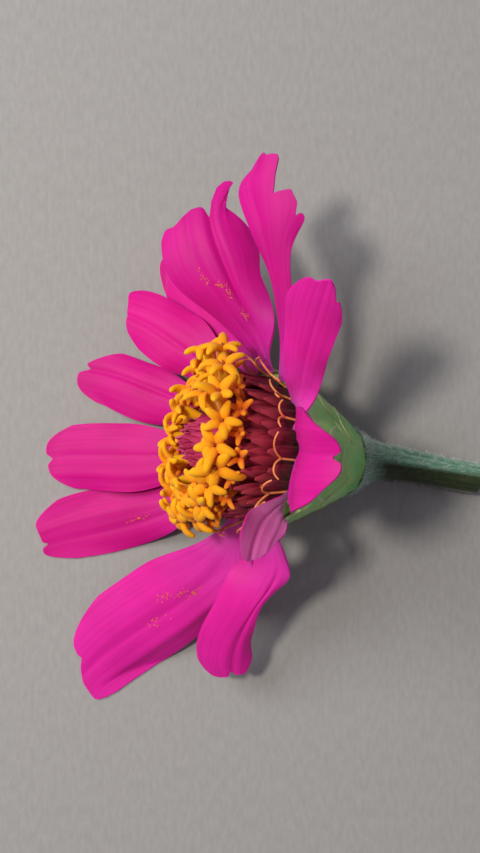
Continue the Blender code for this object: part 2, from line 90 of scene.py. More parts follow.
# One row for each petal. Its midrib runs from the ring through these points, and across points to v = 1.
# lobes: v, added share of the length, width. steps: v, lost share of the length, width
# waists: share of the length, added share of the width, reach, margin. folds: v, height, width
# hooks: v, sideways, up, width
PETALS = (
    {"angle": -150, "width": 9.4, "across": (0.25, -0.97, 0.0),
     "midrib": ((-11.5, -12.4, 2.8), (-20.8, -15.0, 0.8), (-30.7, -17.6, 0.35)),
     "lobes": ((0.2, -0.03, 0.08), (-0.8, 0.03, 0.4), (0.6, 0.02, 0.3)),
     "waists": ((0.78, 0.3, 0.25, -1),),
     "folds": ((0.25, -0.14, 0.12), (-0.3, 0.2, 0.2))},
    {"angle": 180, "width": 10.6, "across": (0.0, -1.0, 0.0), "curl": (0.25, 0.25),
     "midrib": ((-11.5, -4.6, 4.0), (-20.3, -4.7, 2.2), (-29.9, -5.1, -0.1)),
     "lobes": ((0.0, -0.03, 0.12),),
     "folds": ((-0.05, -0.13, 0.1), (0.5, 0.15, 0.15))},
    {"angle": 150, "width": 9.2, "across": (-0.3, -0.95, 0.0),
     "midrib": ((-9.4, 3.4, 4.0), (-16.9, 6.2, 1.8), (-25.2, 8.3, 0.1)),
     "lobes": ((-0.8, -0.09, 0.5), (-0.2, -0.05, 0.12)),
     "folds": ((-0.2, -0.3, 0.12),)},
    {"angle": 126, "width": 9.6, "across": (-0.62, -0.72, -0.1), "skew": -0.05,
     "midrib": ((-5.4, 9.9, 7.9), (-11.2, 14.2, 6.0), (-17.2, 17.4, 3.0)),
     "lobes": ((-1.0, 0.09, 0.4),),
     "folds": ((0.1, -0.25, 0.12),)},
    {"angle": 103, "width": 9.6, "across": (-0.72, -0.62, -0.05),
     "midrib": ((-1.6, 13.4, 8.4), (-6.4, 20.4, 3.2), (-10.7, 27.0, -0.2))},
    {"angle": 82, "width": 13.8, "across": (-0.93, -0.2, -0.2), "face": "painted_shade",
     "round": 0.2, "widest": 0.7, "curl": (0.9, 0.35), "upper_share": 1.08,
     "midrib": ((0.4, 15.7, 17.0), (-3.4, 23.0, 18.5), (-5.4, 31.0, 17.0)),
     "lobes": ((-0.25, 0.095, 0.06), (-0.33, 0.11, 0.06), (-0.41, 0.12, 0.04), (-0.14, -0.06, 0.08),
               (1.0, 0.09, 0.2), (0.6, -0.03, 0.2)),
     "waists": ((0.45, -0.16, 0.2, 1), (0.5, -0.16, 0.1, -1), (0.18, 0.35, 0.12, -1)),
     "folds": ((-0.15, -0.6, 0.1), (0.35, -0.2, 0.08)),
     "hooks": ((-0.36, -2.4, 0.3, 0.1),)},
    {"angle": 60, "width": 9.8, "across": (-0.9, -0.05, -0.4), "face": "painted_shade",
     "widest": 0.95, "swell": 1.7, "skew": -0.04, "curl": (0.45, 0.6),
     "midrib": ((6.0, 15.3, 22.0), (4.7, 25.1, 25.0), (4.3, 34.6, 26.0)),
     "lobes": ((0.5, 0.09, 0.26), (0.31, 0.028, 0.1), (0.14, 0.055, 0.1), (-0.02, -0.01, 0.05),
               (-0.49, -0.015, 0.05)),
     "steps": ((0.04, 0.11, 0.07), (-0.46, 0.105, 0.07)),
     "waists": ((0.4, -0.4, 0.26, 1), (0.93, 0.42, 0.1, 1), (0.82, 0.75, 0.1, -1), (0.56, -0.45, 0.2, -1)),
     "folds": ((0.5, -0.25, 0.16),),
     "hooks": ((0.1, -1.3, 0.0, 0.08),)},
    {"angle": 33, "width": 8.8, "across": (-0.75, 0.15, -0.5), "face": "painted_skylight", "twist_by": 0.25,
     "round": 0.2, "widest": 0.85, "swell": 1.0, "curl": (0.3, 0.3), "lower_share": 0.8,
     "midrib": ((7.9, 6.9, 28.5), (8.9, 12.2, 35.5), (10.1, 16.8, 42.0)),
     "lobes": ((-0.62, -0.05, 0.07), (-0.25, 0.06, 0.3), (0.05, 0.03, 0.22), (0.7, 0.03, 0.3)),
     "waists": ((0.05, 1.1, 0.35, -1), (-0.05, 0.5, 0.14, -1)),
     "folds": ((-0.1, -0.08, 0.12),)},
    {"angle": 2, "width": 12.4, "across": (0.07, 1.0, 0.0), "face": "painted_shade", "ruffle": 0.2,
     "round": 0.4, "curl": (0.05, -0.1), "upper_share": 1.1, "lower_share": 1.03,
     "midrib": ((7.5, -3.9, 32.0), (8.2, -4.6, 41.0), (12.1, -4.6, 44.6)),
     "lobes": ((0.15, -0.05, 0.08), (-0.6, -0.07, 0.3)),
     "waists": ((0.25, 0.6, 0.14, -1),),
     "folds": ((0.2, -0.35, 0.15), (-0.4, 0.35, 0.2), (0.65, 0.3, 0.15), (-1.0, 0.4, 0.35))},
    {"angle": -36, "width": 6.9, "across": (-0.9, 0.35, 0.1), "twist_by": 0.45,
     "round": 0.3, "skew": 0.12, "widest": 0.6, "curl": (0.3, 0.3),
     "midrib": ((4.4, -12.4, 26.6), (3.2, -14.5, 29.3), (2.2, -17.9, 30.6)),
     "lobes": ((0.0, -0.05, 3.0),),
     "waists": ((0.12, 0.3, 0.14, -1), (0.36, -0.32, 0.2, -1), (0.8, -0.4, 0.3, -1), (0.25, -0.25, 0.2, 1)),
     "folds": ((0.3, 0.25, 0.12), (-0.4, -0.2, 0.15))},
    {"angle": -76, "width": 9.6, "across": (0.95, -0.2, 0.1), "face": "painted_skylight",
     "round": 0.08, "curl": (0.4, 0.9), "upper_share": 0.5,
     "midrib": ((4.8, -19.4, 15.8), (0.9, -27.7, 12.3), (-1.9, -37.6, 5.8)),
     "lobes": ((0.2, -0.03, 0.1), (1.0, 0.07, 0.35)),
     "waists": ((0.0, 3.5, 0.15, 1), (0.25, 0.5, 0.07, 1), (0.48, -0.6, 0.12, 1), (0.88, 1.0, 0.18, 1),
                (0.3, 0.5, 0.2, -1)),
     "folds": ((0.3, -0.3, 0.15),)},
    {"angle": -113, "width": 14.6, "across": (0.6, -0.78, 0.0), "face": "painted_skylight", "twist_by": 0.25,
     "skew": 0.1, "swell": 0.7, "curl": (0.35, 0.8),
     "midrib": ((-4.4, -21.4, 8.0), (-13.2, -28.6, 4.2), (-24.2, -37.4, 0.5)),
     "lobes": ((-0.2, -0.015, 0.08), (0.8, 0.06, 0.35), (0.2, 0.03, 0.3), (-0.7, 0.035, 0.3)),
     "waists": ((0.85, 0.14, 0.2, 1), (0.12, 1.15, 0.16, 1)),
     "folds": ((0.1, -0.3, 0.14), (0.55, 0.35, 0.12))},
)
FACE_STOPS = (0.0, 0.2, 0.5, 1.0)
# Three copies of the petals' one magenta: the first for most petals, the second darker as painted shade for
# the petals that catch the most lamp light, the third paler and bluer as painted blue sky light for the
# petals turned away from the lamps
FACE_COLOURS = {
    "bright": ((204, 70, 166), (214, 32, 148), (224, 14, 138), (232, 14, 144)),
    "painted_shade": ((192, 66, 166), (202, 30, 148), (210, 14, 138), (218, 14, 144)),
    "painted_skylight": ((220, 86, 182), (232, 52, 170), (242, 32, 160), (248, 32, 166)),
}

# Pollen, as the petal, s and v of each cluster
POLLEN = ((6, 0.62, 0.35), (6, 0.55, 0.12), (6, 0.5, 0.05), (6, 0.36, -0.05), (12, 0.52, -0.2),
          (12, 0.45, -0.05), (12, 0.38, 0.12), (12, 0.6, 0.15), (1, 0.5, 0.1))
GRAINS = 22
GRAIN_SIZES = (0.04, 0.11)
GRAIN_PROUD = 0.4
GRAIN_LUMPS = 0.12
CLUSTER_LENGTH = 0.02
CLUSTER_WIDTH = 0.04
POLLEN_SEED = 11

# Green cup, as radius and height pairs down its outside
CUP_TOP = -0.7
CUP_PROFILE = ((11.2, CUP_TOP), (10.2, -3.5), (8.3, -7.5), (6.2, -11.5), (4.8, -14.6), (4.2, -16.2))
CUP_BEND = 0.8
CUP_SIDES = 48
CUP_RINGS = 16
CUP_UNDER_BRACTS = 0.05
CUP_SEED = 7
# Rows of bracts on the cup: count, height of the foot and of the tip, width, how proud, turn
BRACT_ROWS = (
    (7, -14.7, -8.2, 6.8, 0.5, 0.0),
    (9, -13.8, -4.6, 7.4, 0.45, 14.0),
    (11, -10.5, -0.5, 7.6, 0.42, 5.0),
)
BRACT_THICKNESS = 0.35
BRACT_ROUND = 0.5
BRACT_BELLY = 0.3
BRACT_PRESSED = 0.25
BRACT_TIP = 0.22
MIDLINE_RISE = 0.16
MIDLINE_WIDTH = 0.12
MARGIN_RISE = 0.14
MARGIN_AT = 0.88
MARGIN_WIDTH = 0.1

# Chaff
CORE_PROFILE = ((9.3, 3.5), (8.7, 6.0), (6.7, 7.9), (4.4, 9.1), (2.2, 10.4), (0.5, 11.1))
CORE_WALL = 3.8
CORE_SIDES = 40
CHAFF_THICKNESS = 0.16
CHAFF_FLARE = 0.35
CHAFF_SHADE_TO = 6.0
CHAFF_SEED = 4
WALL_KEEL = 0.5
# Rows of bracts round the wall: count, radius, height of the foot, length, width, tilt, turn
WALL_ROWS = (
    (25, 9.75, -0.5, 6.0, 2.3, 88.0, 0.0),
    (25, 9.5, 0.6, 6.2, 2.2, 88.0, 0.4),
    (25, 9.25, 1.7, 6.2, 2.0, 88.0, 0.7),
    (26, 8.9, 3.4, 4.8, 1.8, 97.0, 0.1),
    (20, 7.4, 5.4, 4.2, 1.8, 104.0, 0.5),
)
APEX_BRACTS = 64
APEX_RADIUS = 4.6
APEX_TOP = 10.6
APEX_FALL = 2.6
APEX_TILT = 93.0
APEX_SPREAD = 30.0
APEX_WIDTH = 1.3
APEX_LENGTH = 2.9
APEX_KEEL = 0.25

# Disc florets
FLORET_ROWS = (
    {"colour": "gold", "count": 18, "radius": 7.6, "height": 7.2, "tilt": 30.0, "lean": 18.0, "tube": 3.8,
     "sway": 0.95, "size": 1.2, "turn": 0.0, "inwards": 2.2, "clear": 1.1,
     "openings": (1.15, 1.0, 0.85, 0.7, 0.5)},
    {"colour": "gold", "count": 11, "radius": 5.9, "height": 8.6, "tilt": 58.0, "lean": 8.0, "tube": 2.6,
     "sway": 0.0, "size": 1.1, "turn": 9.0, "inwards": 0.9, "clear": 0.6,
     "openings": (1.1, 0.9, 0.75, 0.55)},
    {"colour": "orange", "count": 19, "radius": 8.8, "height": 6.0, "tilt": 42.0, "lean": 14.0, "tube": 2.4,
     "sway": 0.3, "size": 0.8, "turn": 12.0, "inwards": 1.0, "clear": 1.1,
     "openings": (0.7, 0.4, 0.15)},
)
CROWN_TURN = radians(45.0)
SWAY_TURN = radians(20.0)
SWAY_FAR_SIDE = 0.4
CROWN_RISE = 0.7
LOBES = 5
LOBE_LENGTHS = (1.8, 3.1)
LOBE_THICK = 0.46
LOBE_WIDE = 0.64
LOBE_FOOT_TURN = 88.0
LOBE_FOOT_OPENS = 20.0
LOBE_TIP_TURN = 50.0
LOBE_TIP_OPENS = 125.0
THROAT = 0.4
TUBE_RADII = (0.55, 0.75)
TUBE_LENGTH = 4.2
TUBE_MIDDLE = -2.6
TUBE_RIM = -1.0
LIP_RISE, LIP_WIDENS = 0.6, 1.35
MOUTH_RISE, MOUTH_WIDENS = -0.7, 0.45
ANTHER_SIZE = (0.2, 0.2, 0.55)
ANTHER_RISE = 0.15
FLORET_SEED = 4

# Forked styles at the petals' feet: angle, height of the fork, outward lean, length of the arms
STYLES = ((103, 2.2, 0.55, 2.8), (88, 1.7, 0.5, 3.0), (63, 1.9, 0.5, 3.9), (44, 1.9, 0.15, 3.4),
          (25, 2.2, 0.1, 3.4), (-6, 2.6, 0.05, 4.5), (-32, 2.9, 0.05, 4.4), (-52, 2.6, 0.1, 3.2),
          (-72, 2.4, 0.3, 4.2), (-96, 3.6, 0.5, 2.8), (126, 3.0, 0.2, 2.8), (150, 2.8, 0.1, 2.6),
          (180, 3.0, 0.1, 2.8), (-124, 3.2, 0.2, 2.8), (-152, 2.8, 0.1, 2.6))
STYLE_RADIUS = 0.17
STYLE_RING = 10.25
STYLE_SUNK = 0.4
STALK_SHARES = (0.0, 0.35, 0.7, 1.0)
STALK_SWELLS = (1.1, 1.0, 1.0, 1.05)
ARM_STEPS = 7
ARM_BEND = 1.4
ARM_TAPER = 0.25
STYLE_SEED = 7

# Stem
STEM_ROUTE = ((23.5, -5.6, 3.8), (29.9, -6.8, 2.6), (36.4, -8.0, 2.2))
STEM_RADIUS = 2.4
STEM_TOP_RADIUS = 5.0
STEM_TOP = -15.0
STEM_FLARE = 6.5
STEM_STRAIGHT = 0.25
STEM_RIBS = 9.0
STEM_RIB_DEPTH = 0.05
STEM_RIB_TURN = 2.0
STEM_SIDES = 72
STEM_RINGS = 60
# Painted shade on the stem and its hairs: an olive darkening of the lower side, across this direction,
# fading in past the flare
STEM_SIDE = (0.147, 1.0, 0.0)
PAINTED_SHADE_SIDE = (-0.2, 0.6)
PAINTED_SHADE_FROM_HEAD = (16.0, 19.0)
STEM_CUT = (0.0, -0.3, -0.35)
CUT_FROM = 0.985
RIND = (0.12, -0.001)
PITH = (0.28, -0.004)

# Stem hairs, in tufts: turn, tilt and length of each hair
TUFT = ((0.0, 0.3, 0.55), (2.2, 0.5, 0.4), (4.1, 0.45, 0.48), (5.3, 0.9, 0.34))
TUFT_RADIUS = 0.16
HAIR_RADII = (0.028, 0.004)
HAIR_SUNK = 0.03
TUFTS = 800
TUFTS_CROWD = 1.5
TUFTS_TO = 0.98
LOWEST_TUFT = 0.7
LONG_TUFTS_TO = 0.12
LONG_TUFT = 1.5
HAIR_SEED = 7

# Camera in millimetres, the table's size in metres, and the room's light
CAMERA_HEIGHT = 190.0
LENS = 51.7
SENSOR = 36.0
TABLE_SIZE = 3.0
ROOM_COLOUR = (0.82, 0.8, 0.96, 1.0)
ROOM_LIGHT = 0.23


def srgb(red, green, blue):
    """A colour as a painter reads it, 0 to 255, in linear light."""
    shares = [value / 255.0 for value in (red, green, blue)]
    return (*[c / 12.92 if c <= 0.04045 else ((c + 0.055) / 1.055) ** 2.4 for c in shares], 1.0)


def head_matrix():
    """Where the head stands in the world, in metres."""
    outward = Vector((-cos(LEAN) * cos(SWING), cos(LEAN) * sin(SWING), sin(LEAN)))
    level = Vector((sin(SWING), cos(SWING), 0.0))
    turn = Matrix((level.cross(outward), level, outward)).transposed().to_4x4()
    return Matrix.Translation((RING_CENTRE - MIDDLE) * MM) @ turn


HEAD = head_matrix()


def deselect_all():
    bpy.ops.object.select_all(action="DESELECT")


def pick(thing):
    deselect_all()
    thing.select_set(True)
    bpy.context.view_layer.objects.active = thing


def switch_to(mode):
    bpy.ops.object.mode_set(mode=mode)


def link(thing):
    bpy.context.scene.collection.objects.link(thing)


def added(name):
    """The primitive just added, under its own name."""
    thing = bpy.context.active_object
    thing.name = name
    thing.data.name = name
    return thing


def corners(thing):
    points = np.zeros(len(thing.data.vertices) * 3)
    thing.data.vertices.foreach_get("co", points)
    return points.reshape(-1, 3)


def move_corners(thing, points):
    thing.data.vertices.foreach_set("co", np.ascontiguousarray(points, float).ravel())
    thing.data.update()


def blade_grid(name, steps_along, steps_across):
    """A flat grid to shape into a blade, with the s and v of its corners."""
    bpy.ops.mesh.primitive_grid_add(x_subdivisions=steps_along, y_subdivisions=steps_across, size=2.0)
    thing = added(name)
    grid = corners(thing)
    return thing, (grid[:, 0] + 1.0) / 2.0, grid[:, 1]


def cylinder(name, sides, radius, depth, middle):
    """An upright cylinder with its middle at this height."""
    bpy.ops.mesh.primitive_cylinder_add(vertices=sides, radius=radius, depth=depth, location=(0, 0, middle))
    thing = added(name)
    bpy.ops.object.transform_apply(location=True)
    return thing


def cut_into_rings(thing, cuts):
    """Cuts the long edges of an upright cylinder, so that its wall becomes rings."""
    switch_to("EDIT")
    bpy.ops.mesh.select_mode(type="EDGE")
    bpy.ops.mesh.select_all(action="DESELECT")
    switch_to("OBJECT")
    for edge in thing.data.edges:
        ends = [thing.data.vertices[i].co.z for i in edge.vertices]
        edge.select = ends[0] != ends[1]
    switch_to("EDIT")
    bpy.ops.mesh.subdivide(number_cuts=cuts)
    bpy.ops.mesh.select_all(action="DESELECT")
    switch_to("OBJECT")


def select_top(thing):
    """Selects the flat top of an upright cylinder, and nothing else."""
    for polygon in thing.data.polygons:
        polygon.select = polygon.normal.z > 0.9


def thicken(thing, thickness, under=0):
    """Gives a blade its thickness, with this finish of its list on the underside."""
    wall = thing.modifiers.new("Thickness", "SOLIDIFY")
    wall.thickness = thickness * MM
    wall.offset = 0.0
    wall.material_offset = under
    pick(thing)
    bpy.ops.object.modifier_apply(modifier=wall.name)


def smooth(thing, angle=60.0):
    pick(thing)
    bpy.ops.object.shade_smooth_by_angle(angle=radians(angle))


def clothe(thing, *finishes):
    thing.data.materials.clear()
    for finish in finishes:
        thing.data.materials.append(finish)
    return thing


def joined(name, things):
    """Joins the pieces into one object at the origin."""
    deselect_all()
    for thing in things:
        thing.select_set(True)
    bpy.context.view_layer.objects.active = things[0]
    bpy.ops.object.join()
    return added(name)


def copy_to(pattern, place):
    """A copy of the pattern with its own mesh, moved to the place."""
    copy = pattern.copy()
    copy.data = pattern.data.copy()
    copy.data.transform(place)
    link(copy)
    return copy


def scatter(name, pattern, places):
    """Copies of the pattern at all the places, joined, in the pattern's stead."""
    made = joined(name, [copy_to(pattern, place) for place in places])
    bpy.data.objects.remove(pattern)
    return made


def finished(thing, slot, *nodes):
    """Puts the piece in its place on the flower, instead of the plain solids."""
    thing.data.validate()
    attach(thing, "root")
    if nodes:
        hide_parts(*nodes)


def ease(t):
    """From 0 to 1, slow at both ends."""
    t = np.clip(t, 0.0, 1.0)
    return t * t * (3.0 - 2.0 * t)


def bump_at(x, at, width):
    return np.exp(-(((x - at) / width) ** 2))


def unit(v):
    return v / np.linalg.norm(v, axis=-1, keepdims=True)


def through(points, t):
    """The curve through the points, at the shares t of its length, by Lagrange's formula."""
    points = np.array(points, float)
    gaps = np.linalg.norm(np.diff(points, axis=0), axis=1)
    knots = np.concatenate([[0.0], np.cumsum(gaps)]) / gaps.sum()
    total = 0.0
    for i, point in enumerate(points):
        share = np.ones_like(t)
        for j, knot in enumerate(knots):
            if j != i:
                share = share * (t - knot) / (knots[i] - knot)
        total = total + share[..., None] * point
    return total


def on_head(radius, angle, height):
    """A point on the head in world millimetres."""
    local = Vector((radius * cos(angle), radius * sin(angle), height))
    return np.array(HEAD @ (local * MM)) / MM


# Finishes


def new_finish(name, roughness, **sockets):
    made = bpy.data.materials.new(name)
    made.use_nodes = True
    inputs = made.node_tree.nodes["Principled BSDF"].inputs
    inputs["Roughness"].default_value = roughness
    for socket, value in sockets.items():
        inputs[socket.replace("_", " ")].default_value = value
    return made, made.node_tree


def node(tree, kind, links=(), **settings):
    """A node whose inputs are linked to an output or set to a value."""
    made = tree.nodes.new("ShaderNode" + kind)
    for setting, value in settings.items():
        setattr(made, setting, value)
    for socket, source in dict(links).items():
        if hasattr(source, "is_output"):
            tree.links.new(source, made.inputs[socket])
        else:
            made.inputs[socket].default_value = source
    return made


def coordinates(tree, kind):
    return node(tree, "TexCoord").outputs[kind]


def along_and_across(tree):
    split = node(tree, "SeparateXYZ", {"Vector": coordinates(tree, "UV")})
    return split.outputs["X"], split.outputs["Y"]


def noise(tree, kind, scale, detail=2.0, roughness=0.5):
    """Noise with one scale for each axis, or one for all three."""
    scale = scale if isinstance(scale, tuple) else (scale, scale, scale)
    where = node(tree, "Mapping", {"Vector": coordinates(tree, kind), "Scale": scale}).outputs["Vector"]
    made = node(tree, "TexNoise", {"Vector": where, "Scale": 1.0, "Detail": detail, "Roughness": roughness})
    return made.outputs["Fac"]


def ramp(tree, factor, stops):
    made = node(tree, "ValToRGB", {"Fac": factor})
    elements = made.color_ramp.elements
    for position, colour in stops[:-2]:
        elements.new(position).color = colour
    elements[0].position, elements[0].color = stops[0]
    for element, (position, colour) in zip(elements, stops):
        element.position = position
        element.color = colour
    return made.outputs["Color"]


def blend(tree, mode, factor, first, second):
    """Two colours mixed. A colour mix has them at inputs 6 and 7, and its result at output 2."""
    return node(tree, "Mix", {0: factor, 6: first, 7: second}, data_type="RGBA", blend_type=mode).outputs[2]


def darkened(tree, colour, mask, start, dark, end, strength=1.0):
    """The colour under a dark shade that fades out between these values of the mask."""
    return blend(tree, "MULTIPLY", strength, colour, ramp(tree, mask, ((start, dark), (end, WHITE))))


def lightened(tree, colour, mask, start, end, light, strength):
    """The colour going over to a light one between these values of the mask."""
    share = ramp(tree, mask, ((start, BLACK), (end, (strength, strength, strength, 1.0))))
    return blend(tree, "MIX", share, colour, light)


def distance_along(tree, place, direction):
    return node(tree, "VectorMath", {0: place, 1: direction}, operation="DOT_PRODUCT").outputs["Value"]


def share_between(tree, value, low, high):
    """From 0 at the low distance to 1 at the high one, both in millimetres."""
    limits = {"Value": value, "From Min": low * MM, "From Max": high * MM}
    return node(tree, "MapRange", limits).outputs["Result"]


def painted(made, colour, height, strength, depth):
    """The finish with its colour and a fine relief, whose depth is in millimetres."""
    tree = made.node_tree
    inputs = tree.nodes["Principled BSDF"].inputs
    tree.links.new(colour, inputs["Base Color"])
    relief = node(tree, "Bump", {"Height": height, "Strength": strength, "Distance": depth * MM})
    tree.links.new(relief.outputs["Normal"], inputs["Normal"])
    return made


def petal_finish(name, stops, streak, pale, roughness):
    """Velvety petal skin, whose colour changes along the blade under lengthwise veins and faint mottling."""
    made, tree = new_finish(name, roughness, Specular_IOR_Level=0.18, Subsurface_Weight=0.4,
                            Subsurface_Scale=1.5 * MM, Subsurface_Radius=(1.0, 0.2, 0.6))
    colour = ramp(tree, along_and_across(tree)[0], stops)
    veins = noise(tree, "UV", (1.3, 20.0, 1.0), detail=4.0, roughness=0.6)
    colour = darkened(tree, colour, veins, 0.42, streak, 0.58, 0.28)
    colour = lightened(tree, colour, noise(tree, "UV", (1.1, 5.0, 1.0)), 0.5, 0.75, pale, 0.2)
    cloud = noise(tree, "Object", 140.0)
    colour = darkened(tree, colour, cloud, 0.35, (0.82, 0.8, 0.82, 1.0), 0.65, 0.6)
    return painted(made, colour, veins, 0.2, 0.04)


def petal_faces():
    """The upper skin in three copies of one magenta: most petals plain, a darker copy as painted shade on
    the petals that catch the most lamp light, and a paler, bluer copy as painted blue sky light on the
    petals turned away from the lamps.
    """
    made = {}
    for name, colours in FACE_COLOURS.items():
        stops = [(share, srgb(*colour)) for share, colour in zip(FACE_STOPS, colours)]
        made[name] = petal_finish("petal_face_" + name, stops, srgb(210, 150, 205), srgb(240, 46, 172), 0.55)
    return made


def petal_back():
    """The paler underside."""
    stops = ((0.0, srgb(206, 126, 172)), (0.4, srgb(192, 98, 156)), (1.0, srgb(188, 78, 146)))
    return petal_finish("petal_back", stops, srgb(214, 176, 212), srgb(196, 122, 172), 0.6)


def cup_finish():
    """Leafy green with pale papery margins, yellow patches and a faint lengthwise grain."""
    made, tree = new_finish("bract_green", 0.28, Specular_IOR_Level=0.7, Subsurface_Weight=0.08,
                            Subsurface_Scale=0.6 * MM)
    along, across = along_and_across(tree)
    colour = ramp(tree, along, ((0.0, srgb(128, 208, 112)), (0.45, srgb(140, 220, 116)),
                                (0.85, srgb(176, 228, 128)), (1.0, srgb(214, 230, 166))))
    edge = node(tree, "Math", {0: across, 1: 0.5}, operation="SUBTRACT").outputs[0]
    edge = node(tree, "Math", {0: edge}, operation="ABSOLUTE").outputs[0]
    colour = lightened(tree, colour, edge, 0.36, 0.5, srgb(178, 200, 116), 0.75)
    cloud = noise(tree, "Object", 260.0, detail=3.0)
    colour = darkened(tree, colour, cloud, 0.35, (0.74, 0.8, 0.74, 1.0), 0.65, 0.6)
    colour = lightened(tree, colour, noise(tree, "Object", 330.0), 0.48, 0.68, srgb(196, 218, 96), 0.4)
    grain = noise(tree, "UV", (2.0, 30.0, 1.0), detail=3.0)
    return painted(made, colour, grain, 0.6, 0.16)


def chaff_finish(name, foot, middle, tip, ridge):
    """Papery bracts with light lengthwise lines, darker low down near the petals' feet: partly the chaff's
    own darker colour there, partly painted shade under the petals.
    """
    made, tree = new_finish(name, 0.5, Specular_IOR_Level=0.4)
    colour = ramp(tree, along_and_across(tree)[0], ((0.0, foot), (0.55, middle), (1.0, tip)))
    lines = noise(tree, "UV", (1.5, 9.0, 1.0))
    colour = lightened(tree, colour, lines, 0.5, 0.7, ridge, 0.5)
    # Painted shade with some of the chaff's own darker colour: darker near the ring, fading out at a height
    # above it
    ring = {0: coordinates(tree, "Object"), 1: tuple(HEAD.translation)}
    from_ring = node(tree, "VectorMath", ring, operation="SUBTRACT").outputs["Vector"]
    above_ring = distance_along(tree, from_ring, tuple(HEAD.to_3x3().col[2]))
    depth = share_between(tree, above_ring, 0.0, CHAFF_SHADE_TO)
    colour = darkened(tree, colour, depth, 0.0, srgb(150, 130, 140), 1.0)
    return painted(made, colour, lines, 0.4, 0.08)


def floret_finish(name, foot, middle, tip):
    """Velvety yellow: orange at the foot of the tube, bright at the ends of the lobes."""
    made, tree = new_finish(name, 0.7, Sheen_Weight=0.08, Sheen_Roughness=0.5, Specular_IOR_Level=0.2,
                            Subsurface_Weight=0.15, Subsurface_Scale=0.5 * MM,
                            Subsurface_Radius=(1.0, 0.6, 0.1))
    colour = ramp(tree, along_and_across(tree)[1], ((0.0, foot), (0.4, middle), (1.0, tip)))
    grain = noise(tree, "Object", 5200.0)
    colour = darkened(tree, colour, grain, 0.35, (0.8, 0.72, 0.6, 1.0), 0.6, 0.4)
    return painted(made, colour, grain, 0.7, 0.12)


def painted_shade_below(tree, colour):
    """The colour darkened to olive by painted shade on the lower side of the stem, past its flare."""
    where = coordinates(tree, "Object")
    lower = share_between(tree, distance_along(tree, where, STEM_SIDE), *PAINTED_SHADE_SIDE)
    from_head = node(tree, "SeparateXYZ", {0: where}).outputs["X"]
    past_flare = share_between(tree, from_head, *PAINTED_SHADE_FROM_HEAD)
    return darkened(tree, colour, lower, 0.0, srgb(104, 96, 62), 1.0, past_flare)


def stem_finish():
    """Grey-green skin with fine ribs and flecks, under the hairs, and painted shade on its lower side."""
    made, tree = new_finish("stem_skin", 0.6, Sheen_Weight=0.35, Sheen_Roughness=0.4, Specular_IOR_Level=0.3)
    ribs = noise(tree, "UV", (34.0, 2.5, 1.0), detail=3.0)
    colour = ramp(tree, ribs, ((0.35, srgb(90, 134, 104)), (0.65, srgb(126, 172, 142))))
    flecks = noise(tree, "Object", (900.0, 2400.0, 2400.0))
    colour = lightened(tree, colour, flecks, 0.5, 0.7, srgb(182, 206, 192), 0.55)
    return painted(made, painted_shade_below(tree, colour), ribs, 0.5, 0.12)


def cut_finish():
    """The pale, wet pith of the cut end."""
    made, tree = new_finish("cut_pith", 0.35, Specular_IOR_Level=0.5)
    pores = noise(tree, "Object", 2200.0, detail=3.0)
    colour = ramp(tree, pores, ((0.35, srgb(150, 176, 120)), (0.6, srgb(205, 216, 170))))
    return painted(made, colour, pores, 0.5, 0.1)


def plain_finish(name, dark, light, scale, roughness, shade=None):
    """Two close tones in a fine grain, and painted shade over them where a function for it is given."""
    made, tree = new_finish(name, roughness)
    grain = noise(tree, "Object", scale)
    colour = ramp(tree, grain, ((0.35, dark), (0.65, light)))
    if shade:
        colour = shade(tree, colour)
    return painted(made, colour, grain, 0.4, 0.06)


# Petals


def blade_end(v, shape):
    """The share of its length that the blade reaches at each v, with its lobes and steps."""
    end = 1.0 - shape["round"] * np.abs(v) ** 4 + shape["skew"] * v
    for at, depth, width in shape["lobes"]:
        end = end + depth * bump_at(v, at, width)
    for at, drop, width in shape["steps"]:
        end = end - drop * ease((at - v) / width + 0.5)
    return end


def blade_half(t, v, shape):
    """From midrib to margin: a narrow claw, the widest place, a slight fall to the tip, and waists."""
    claw = CLAW_WIDTH / shape["width"]
    widest = shape["widest"]
    rise = claw + (1.0 - claw) * ease(t / widest) ** shape["swell"]
    fall = 1.0 - TIP_FALL * np.clip((t - widest) / (1.0 - widest), 0.0, 1.0) ** 2
    half = shape["width"] / 2.0 * np.where(t < widest, rise, fall)
    half = half * np.where(v > 0.0, shape["upper_share"], shape["lower_share"])
    for at, depth, width, margin in shape["waists"]:
        half = half * np.where(v * margin > 0.0, 1.0 + depth * bump_at(t, at, width), 1.0)
    return half


def blade_curl(t, v, shape):
    """How far the blade turns down from midrib to margin. The claw turns up."""
    lower, upper = shape["curl"]
    curl = CLAW_CURL + (np.where(v > 0.0, upper, lower) - CLAW_CURL) * ease(t / CURL_BY)
    return np.where(np.abs(curl) < FLATTEST_CURL, FLATTEST_CURL, curl)


def blade_lift(t, v, shape):
    """The fine ribs, the lengthwise folds and the ruffled margins, as a height on the blade."""
    lift = RIB_DEPTH * np.cos(RIBS * pi * v) * ease(t / RIBS_BY)
    for at, depth, width in shape["folds"]:
        lift = lift + depth * bump_at(v, at, width) * ease(t / FOLDS_BY)
    phase = shape["angle"] / WAVE_SHIFT
    waves = np.sin(2.0 * pi * (WAVES * t + WAVES_APART * np.sign(v)) + phase)
    return lift + shape["ruffle"] * np.abs(v) ** 3 * waves * ease(t / RUFFLE_BY)


def kept_above_table(points):
    """The points, with those that come down to the table laid flat on it."""
    floor = PETAL_THICKNESS / 2.0
    above = points[:, 2] - floor
    points[:, 2] = floor + 0.5 * (above + np.sqrt(above**2 + TABLE_SOFTNESS**2)) - TABLE_SINK
    points[:, 2] = np.maximum(points[:, 2], floor)
    return points


